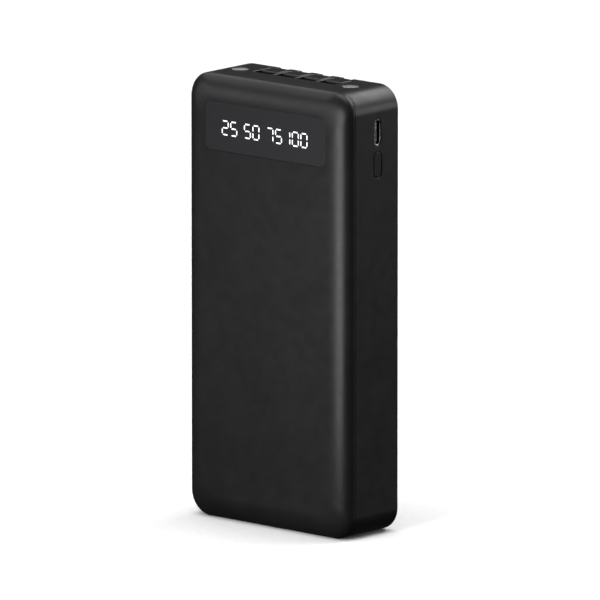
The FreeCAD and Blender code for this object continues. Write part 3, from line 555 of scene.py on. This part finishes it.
def twin(piece, name, x, z=0):
    """A copy with its own mesh, moved across by x and up by z."""
    other = piece.copy()
    other.data = piece.data.copy()
    other.name = name
    other.data.name = name
    bpy.context.collection.objects.link(other)
    other.data.transform(Matrix.Translation((x, 0, z)))
    return other


def bar(name, half_x, half_z, gap, past):
    """One bar of a digit with pointed, rounded ends. A slot has a gap round it, and goes past both faces."""
    stick = block(name, (-half_x - gap, window_low.y - past, -half_z - gap),
                  (half_x + gap, window_low.y + bar_depth + past, half_z + gap))
    round_edges(stick, along(1), bar_point, 1)
    round_edges(stick, along(1), bar_tip, 3)
    return stick


def weld(parts, name):
    """Several pieces as one, without cutting them."""
    clear_selection()
    for part in parts:
        part.select_set(True)
    bpy.context.view_layer.objects.active = parts[0]
    bpy.ops.object.join()
    parts[0].name = name
    return parts[0]


def digit_bars(name, gap=0, past=0):
    """All the bars of the four numbers as one piece."""
    kinds = {
        "flat": bar("flat", arm - bar_gap, stroke / 2, gap, past),
        "upright": bar("upright", stroke / 2, leg / 2 - bar_gap, gap, past),
    }
    made = []
    for number, start in number_starts.items():
        for place, digit in enumerate(number):
            x = row_left + start + digit_wide / 2 + digit_pitch * place
            for letter in lit[digit]:
                kind, across, up = bars[letter]
                made.append(twin(kinds[kind], name, x + across, row_middle + up))
    for kind in kinds.values():
        bpy.data.objects.remove(kind, do_unlink=True)
    return weld(made, name)


window_smoke, shader, place = new_finish("smoked_window")
smoke_dark = (0.0205, 0.0205, 0.0225)
smoke_light = (0.0215, 0.0215, 0.0235)
colour(window_smoke, shader, cloud(window_smoke, place, 60, 3), smoke_dark, smoke_light)
roughen(window_smoke, shader, cloud(window_smoke, place, 500, 2), 0.31, 0.34)
emboss(window_smoke, shader, cloud(window_smoke, place, 5200, 2), 0.0006 * mm)
shader.inputs["Specular IOR Level"].default_value = 0.26
window = block("display_glass", window_low, window_high)
round_edges(window, along(1), window_radius, 12)
round_edges(window, level(1, window_low.y), window_edge, 2)
combine(window, digit_bars("slots", slot_gap, slot_past))
smooth(window)
fit(window, "case", "window_smoke", window_smoke, "display_window")

digit_white, shader, place = new_finish("lit_digits")
glow = tinted(digit_white, cloud(digit_white, place, 900, 2), (0.93, 0.96, 1.0), (1.0, 1.0, 1.0))
feed(digit_white, glow, shader.inputs["Base Color"])
feed(digit_white, glow, shader.inputs["Emission Color"])
roughen(digit_white, shader, cloud(digit_white, place, 700), 0.3, 0.45)
shader.inputs["Emission Strength"].default_value = 0.72
digits = digit_bars("digit_bars")
guide = block("digit_light_guide_plate", (guide_low.x, window_high.y, guide_low.z), guide_high)
round_edges(guide, along(1), guide_radius, 3)
weld([digits, guide], "digit_bars")
smooth(digits)
fit(digits, "case", "digit_white", digit_white, "digit_light_guide")

# ---------------------------------------------------------------- stowed plugs
# Four charging plugs stand tip down in their bays. Each grip is a soft black overmould with a rounded
# top that a finger lifts from the front, and an elbow that carries its flat lead over the back rim.
grip_back = 10.9 * mm
finger_ledge = 148 * mm
finger_back = 4.8 * mm
grip_corner = 0.7 * mm
grip_edge = 0.6 * mm
elbow_half = 2.25 * mm
elbow_front = 10.0 * mm
elbow_bend = 12.1 * mm
elbow_back = 13.7 * mm
elbow_low = 150.7 * mm
elbow_under = 152.1 * mm
elbow_over = 153.7 * mm
elbow_radius = 1.2 * mm
elbow_edge = 0.3 * mm
slack = 0.1 * mm
plug_dark = (0.010, 0.010, 0.0105)
plug_light = (0.014, 0.014, 0.0145)
plug_black = moulded("plug_black_overmould", plug_dark, plug_light, 0.36, 0.3, 0.003 * mm)
grip_low, grip_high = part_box("plug_grip_1")
grip_x = bay_centres[0]
grip = block("plug_grip_1_overmould", grip_low, (grip_high.x, grip_back, finger_ledge))
pick(grip, "FACE", level(2, finger_ledge))
bpy.ops.mesh.bisect(plane_co=(0, finger_back, 0), plane_no=(0, 1, 0))
done()
pick(grip, "FACE", lambda face: facing(2, 1)(face) and face.calc_center_median().y > finger_back + slack)
push(0, 0, grip_high.z - finger_ledge)
done()
round_edges(grip, lambda edge: along(2)(edge) and edge.calc_length() > grip_high.z - finger_ledge - slack,
            grip_corner, 5)
round_edges(grip, level(2, grip_high.z), grip_edge, 6)
elbow = block("elbow", (grip_x - elbow_half, elbow_front, elbow_under),
              (grip_x + elbow_half, elbow_bend, elbow_over))
pick(elbow, "FACE", facing(1, 1))
push(0, elbow_back - elbow_bend, 0)
done()
pick(elbow, "FACE", lambda face: facing(2, -1)(face) and face.calc_center_median().y > elbow_bend + slack)
push(0, 0, elbow_low - elbow_under)
done()


def elbow_corner(edge):
    """The edge where the elbow turns down over the rim."""
    start = edge.verts[0].co
    return along(0)(edge) and start.y > elbow_back - slack and start.z > elbow_over - slack


def elbow_side(edge):
    """The edges along both sides of the elbow, outside the grip."""
    start = edge.verts[0].co
    sharp = edge.calc_face_angle(0) > radians(60) and not along(0)(edge)
    beside = abs(start.x - grip_x) > elbow_half - slack
    above = start.z > elbow_under + slack or start.y > elbow_bend + slack
    return sharp and beside and above and start.y > elbow_front + slack


round_edges(elbow, elbow_corner, elbow_radius, 6)
round_edges(elbow, elbow_side, elbow_edge, 3)
combine(grip, elbow, "UNION")
smooth(grip)


def one_each(first, name):
    """The first bay's piece and its copies for the other three."""
    return [first] + [twin(first, name.format(i), bay_centres[i - 1] - grip_x) for i in bay_numbers[1:]]


for i, piece in zip(bay_numbers, one_each(grip, "plug_grip_{}_overmould")):
    fit(piece, f"stowed_plug_{i}", "plug_black", plug_black, f"plug_grip_{i}")


def dress(finish, *names):
    """Gives pieces that keep their first shape their finish."""
    for name in names:
        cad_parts[name].material_slots[0].material = finish


def drawn_out(finish, place, streaks, detail):
    """A random pattern drawn out into streaks: how many to the metre across, front to back and up."""
    stretched = finish.node_tree.nodes.new("ShaderNodeMapping")
    stretched.inputs["Scale"].default_value = streaks
    feed(finish, place, stretched.inputs["Vector"])
    return cloud(finish, stretched.outputs["Vector"], 1.0, detail)


def metal(name, dark, light, roughness, streaks, depth):
    """Bright or brushed metal: streaks along the rolling direction, and small scuffs."""
    finish, shader, place = new_finish(name)
    brushed = drawn_out(finish, place, streaks, 4)
    colour(finish, shader, brushed, dark, light)
    roughen(finish, shader, cloud(finish, place, 900, 3), roughness - 0.06, roughness + 0.08)
    emboss(finish, shader, brushed, depth)
    shader.inputs["Metallic"].default_value = 1.0
    return finish


tip_steel = metal(
    "nickel_plated_steel", (0.5, 0.5, 0.49), (0.68, 0.68, 0.67), 0.28, (300, 300, 6000), 0.001 * mm)
contact_gold = metal(
    "gold_plating", (0.78, 0.55, 0.2), (0.9, 0.68, 0.3), 0.22, (800, 800, 4000), 0.0006 * mm)
dress(tip_steel, *(f"plug_tip_{i}" for i in bay_numbers))
dress(contact_gold, *(f"plug_contacts_{i}" for i in bay_numbers))

# ---------------------------------------------------------------- leads
# A flat elastomer lead runs from each plug's elbow down a groove in the back, held flush, into a
# ribbed strain relief near the bottom. The jacket is matte black rubber with faint drawing lines.
lead_radius = 0.6 * mm
lead_cuts = 60
relief_gap = 0.05 * mm
relief_edge = 0.35 * mm
relief_slots = 5
relief_start = 1.6 * mm
relief_pitch = 1.75 * mm
relief_slot_height = 0.65 * mm
relief_slot_depth = 0.55 * mm
neck_half = 1.8 * mm
neck_sink = 0.3 * mm
neck_height = 3 * mm
lead_black, shader, place = new_finish("lead_black_rubber")
rubber_dark = (0.014, 0.014, 0.0145)
rubber_light = (0.022, 0.022, 0.0225)
lines = drawn_out(lead_black, place, (5000, 900, 60), 3)
colour(lead_black, shader, cloud(lead_black, place, 120, 3), rubber_dark, rubber_light)
roughen(lead_black, shader, cloud(lead_black, place, 420, 3), 0.52, 0.66)
emboss(lead_black, shader, lines, 0.004 * mm)
shader.inputs["Specular IOR Level"].default_value = 0.3
shader.inputs["Sheen Weight"].default_value = 0.028
lead_low, lead_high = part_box("lead_1")
lead = block("lead_1_jacket", lead_low, lead_high)
round_edges(lead, along(2), lead_radius, 5)
pick(lead, "EDGE", along(2))
bpy.ops.mesh.subdivide(number_cuts=lead_cuts)
done()
smooth(lead)
root_low, root_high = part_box("lead_root_1")
root = block("lead_root_1_relief", (lead_low.x, groove_floor + relief_gap, root_low.z),
             (lead_high.x, root_high.y, root_high.z))
round_edges(root, level(1, root_high.y), relief_edge, 4)
for rib in range(relief_slots):
    slot_low = root_low.z + relief_start + rib * relief_pitch
    slot = block("slot", (root_low.x, root_high.y - relief_slot_depth, slot_low),
                 (root_high.x, root_high.y + mm, slot_low + relief_slot_height))
    combine(root, slot)
neck = block("neck", (grip_x - neck_half, root_low.y, root_low.z),
             (grip_x + neck_half, groove_floor + neck_sink, root_low.z + neck_height))
combine(root, neck, "UNION")
anchor = block("anchor", root_low, (root_high.x, root_low.y + mm, root_low.z + neck_height))
combine(root, anchor, "UNION")
smooth(root)
for i, relief in zip(bay_numbers, one_each(root, "lead_root_{}_relief")):
    fit(relief, "case", "lead_black", lead_black, f"lead_root_{i}")
for i, x, jacket in zip(bay_numbers, bay_centres, one_each(lead, "lead_{}_jacket")):
    jacket.data.materials.clear()
    jacket.data.materials.append(lead_black)
    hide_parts(f"lead_{i}")
    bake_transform(jacket)

# ---------------------------------------------------------------- torches
# Two small torches look straight up: a clear moulded lens in each hole over a faceted, metallised
# reflector cup with one white lamp at its bottom, on a white aluminium board.
flange_radius = 3.7 * mm
flange_height = 1.0 * mm
lens_shoulder = 0.8 * mm
lens_edge = 0.35 * mm
lens_hollow = 1.2 * mm
dome_rise = 0.16 * mm
dome_steps = (0.34, 0.62, 0.82, 0.94)
dome_narrowing = 0.2
cup_sides = 24
cup_lip = 0.7 * mm
cup_twist = 7.5
cup_rings = ((2.8 * mm, 0.45 * mm), (2.5 * mm, 0.7 * mm), (2.1 * mm, 0.8 * mm), (1.65 * mm, 0.8 * mm))
lens_clear, shader, place = new_finish("clear_lens")
colour(lens_clear, shader, cloud(lens_clear, place, 300), (0.95, 0.97, 0.98), (1, 1, 1))
roughen(lens_clear, shader, cloud(lens_clear, place, 1200, 3), 0.05, 0.12)
pebbles = lens_clear.node_tree.nodes.new("ShaderNodeTexVoronoi")
pebbles.inputs["Scale"].default_value = 1500
feed(lens_clear, place, pebbles.inputs["Vector"])
emboss(lens_clear, shader, pebbles.outputs["Distance"], 0.12 * mm)
shader.inputs["Transmission Weight"].default_value = 0.72
shader.inputs["IOR"].default_value = 1.49
reflector_silver = metal(
    "metallised_cup", (0.82, 0.82, 0.83), (0.95, 0.95, 0.96), 0.1, (900, 900, 900), 0.0008 * mm)
for side in ("left", "right"):
    lens_low, lens_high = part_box(f"torch_lens_{side}")
    cup_low, cup_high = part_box(f"torch_reflector_{side}")
    middle = (lens_low + lens_high) / 2
    axis = (middle.x, middle.y, 0)
    lens = rod(f"torch_lens_{side}_clear", middle, flange_radius, lens_low.z, lens_low.z + flange_height, 64)
    pick(lens, "FACE", facing(2, 1))
    bpy.ops.mesh.inset(thickness=lens_shoulder)
    push(0, 0, lens_high.z - lens_low.z - flange_height)
    done()
    round_edges(lens, level(2, lens_high.z), lens_edge, 4)
    pick(lens, "FACE", facing(2, -1))
    bpy.ops.mesh.inset(thickness=lens_hollow)
    for dome in dome_steps:
        push(0, 0, dome_rise)
        stretch(1 - dome * dome_narrowing, 1 - dome * dome_narrowing, 1, axis)
    done()
    smooth(lens)
    fit(lens, "case", "lens_clear", lens_clear, f"torch_lens_{side}")
    cup = rod(f"torch_cup_{side}", middle, flange_radius, cup_low.z, cup_high.z, cup_sides)
    pick(cup, "FACE", facing(2, 1))
    bpy.ops.mesh.inset(thickness=cup_lip)
    radius = flange_radius - cup_lip
    for wide, deep in cup_rings:
        push(0, 0, -deep)
        stretch(wide / radius, wide / radius, 1, axis)
        bpy.ops.transform.rotate(value=radians(cup_twist), orient_axis="Z", center_override=axis)
        radius = wide
    done()
    fit(cup, "case", "reflector_silver", reflector_silver, f"torch_reflector_{side}")

led_white, shader, place = new_finish("white_lamp")
colour(led_white, shader, cloud(led_white, place, 1500), (0.75, 0.68, 0.28), (0.9, 0.82, 0.42))
roughen(led_white, shader, cloud(led_white, place, 2500), 0.3, 0.5)
dress(led_white, "torch_led_left", "torch_led_right", "display_leds")

# ---------------------------------------------------------------- charging port
# The USB-C input: a drawn steel shell with rolled lips, set just inside the moulded hole, and a black
# tongue with gold contacts down the middle of it, ending in a thin steel nose plate.
port_sheet = 0.3 * mm
port_back = 0.4 * mm
port_lip = 0.08 * mm
tongue_half = 3.35 * mm
tongue_skin = 0.1 * mm
tongue_edge = 0.2 * mm
tongue_root = 2.15 * mm
root_roundness = 0.99
nose_length = 0.3 * mm
nose_edge = 0.15 * mm
nose_half_width = 0.33 * mm
nose_half_height = 3.3 * mm
port_steel = metal("port_steel", (0.5, 0.5, 0.5), (0.75, 0.75, 0.75), 0.22, (400, 3000, 3000), 0.001 * mm)
port = block("port_shell", port_low, port_high)
round_edges(port, along(0), (port_high.y - port_low.y) / 2 * nearly, 12)
pick(port, "FACE", facing(0, 1))
bpy.ops.mesh.inset(thickness=port_sheet)
push(port_low.x + port_back - port_high.x, 0, 0)
done()
round_edges(port, level(0, port_high.x), port_lip, 3)
smooth(port)
fit(port, "case", "port_steel", port_steel, "usb_c_port_shell")
port_black = moulded(
    "port_black_carrier", (0.006, 0.006, 0.006), (0.009, 0.009, 0.009), 0.45, 0.3, 0.002 * mm)
tongue_low, tongue_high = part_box("usb_c_port_tongue")
contact_low, contact_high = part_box("usb_c_port_contacts")
tongue = block("port_tongue", (tongue_low.x, contact_low.y + tongue_skin, port_z - tongue_half),
               (tongue_high.x - nose_length, contact_high.y - tongue_skin, port_z + tongue_half))
round_edges(tongue, along(0), tongue_edge, 3)
tongue_base = block("tongue_base", tongue_low, (tongue_low.x + tongue_root, tongue_high.y, tongue_high.z))
round_edges(tongue_base, along(0), (tongue_high.y - tongue_low.y) / 2 * root_roundness, 10)
combine(tongue, tongue_base, "UNION")
smooth(tongue)
fit(tongue, "case", "port_black", port_black, "usb_c_port_tongue")
nose = block("tongue_nose_plate",
             (tongue_high.x - nose_length, port_y - nose_half_width, port_z - nose_half_height),
             (tongue_high.x, port_y + nose_half_width, port_z + nose_half_height))
round_edges(nose, level(0, tongue_high.x), nose_edge, 3)
smooth(nose)
fit(nose, "case", "port_steel", port_steel)
dress(contact_gold, "usb_c_port_contacts")

# ---------------------------------------------------------------- power button
# A stadium-shaped key of the same black ABS that sits level with the side. A rim inside the wall
# stops it from falling out, and a small switch behind its white plunger pushes it back.
key_half_width = 2.0 * mm
key_half_length = 4.5 * mm
key_inner = 34.45 * mm
key_edge = 0.3 * mm
rim_outer = 34.5 * mm
button_black = moulded("button_black_abs", case_dark, case_light, 0.36, 0.3, 0.0025 * mm)
button = block("power_key", (key_inner, port_y - key_half_width, button_z - key_half_length),
               (button_high.x, port_y + key_half_width, button_z + key_half_length))
round_edges(button, along(0), key_half_width * nearly, 14)
round_edges(button, level(0, button_high.x), key_edge, 4)
rim = block("rim", button_low, (rim_outer, button_high.y, button_high.z))
round_edges(rim, along(0), (button_high.y - button_low.y) / 2 * nearly, 12)
combine(button, rim, "UNION")
smooth(button)
fit(button, "button", "button_black", button_black, "power_button")
plunger_white = moulded("plunger_white", (0.66, 0.65, 0.62), (0.74, 0.73, 0.7), 0.4, 0.5, 0.002 * mm)
dress(plunger_white, "switch_plunger")
switch_black = moulded("switch_black", (0.02, 0.02, 0.02), (0.03, 0.03, 0.03), 0.5, 0.4, 0.003 * mm)
dress(switch_black, "tact_switch")

# ---------------------------------------------------------------- boards and cells
# Inside: green circuit boards with their parts, two foil pouch cells taped back to back on a foam pad,
# and the wires between them. They stay closed in, and keep the shapes they were drawn with.
mask_black = moulded("mask_black", (0.012, 0.012, 0.012), (0.018, 0.018, 0.018), 0.6, 0.3, 0.003 * mm)
dress(mask_black, "display_mask")
board_green, shader, place = new_finish("green_solder_mask")
tracks = board_green.node_tree.nodes.new("ShaderNodeTexVoronoi")
tracks.distance = "CHEBYCHEV"
tracks.inputs["Scale"].default_value = 520
feed(board_green, place, tracks.inputs["Vector"])
track_lines = tracks.outputs["Distance"]
colour(board_green, shader, track_lines, (0.012, 0.16, 0.06), (0.006, 0.09, 0.035), 0.38, 0.44)
roughen(board_green, shader, cloud(board_green, place, 900), 0.25, 0.4)
emboss(board_green, shader, track_lines, 0.015 * mm)
dress(board_green, "display_board", "main_board")
board_white = moulded("white_board", (0.74, 0.74, 0.73), (0.82, 0.82, 0.81), 0.4, 0.5, 0.003 * mm)
dress(board_white, "torch_board_left", "torch_board_right")
ribbon_tan = moulded("polyimide", (0.42, 0.2, 0.05), (0.56, 0.3, 0.08), 0.3, 0.5, 0.002 * mm)
dress(ribbon_tan, "display_ribbon")
screw_steel = metal("zinc_screw", (0.42, 0.43, 0.45), (0.6, 0.61, 0.63), 0.3, (2500, 2500, 2500), 0.002 * mm)
dress(screw_steel, "board_screws")
inductor_grey = moulded("ferrite", (0.07, 0.07, 0.075), (0.13, 0.13, 0.135), 0.65, 0.4, 0.01 * mm)
dress(inductor_grey, "power_inductors")
chip_black = moulded("epoxy_package", (0.014, 0.014, 0.015), (0.024, 0.024, 0.025), 0.5, 0.4, 0.004 * mm)
dress(chip_black, "control_chips")
can_silver = metal(
    "aluminium_can", (0.66, 0.66, 0.67), (0.8, 0.8, 0.81), 0.25, (3000, 3000, 200), 0.001 * mm)
dress(can_silver, "capacitors")
cell_foil = metal("pouch_foil", (0.6, 0.61, 0.62), (0.76, 0.77, 0.78), 0.35, (260, 260, 260), 0.06 * mm)
dress(cell_foil, "cell_rear", "cell_front")
tab_nickel = metal(
    "nickel_strip", (0.52, 0.51, 0.48), (0.66, 0.65, 0.61), 0.3, (200, 4000, 4000), 0.001 * mm)
dress(tab_nickel, "cell_tabs")
tape_white = moulded("white_tape", (0.68, 0.67, 0.62), (0.78, 0.77, 0.72), 0.6, 0.3, 0.01 * mm)
dress(tape_white, "cell_tape")
foam_grey = moulded("grey_foam", (0.12, 0.12, 0.125), (0.24, 0.24, 0.25), 0.9, 0.1, 0.08 * mm)
dress(foam_grey, "foam_pad")
wire_red = moulded("red_insulation", (0.38, 0.01, 0.01), (0.5, 0.02, 0.015), 0.42, 0.4, 0.004 * mm)
dress(wire_red, "lead_harness_right", "battery_wires_right", "torch_wires_right")
wire_black = moulded("black_insulation", (0.012, 0.012, 0.012), (0.02, 0.02, 0.02), 0.42, 0.4, 0.004 * mm)
dress(wire_black, "lead_harness_left", "battery_wires_left", "torch_wires_left")
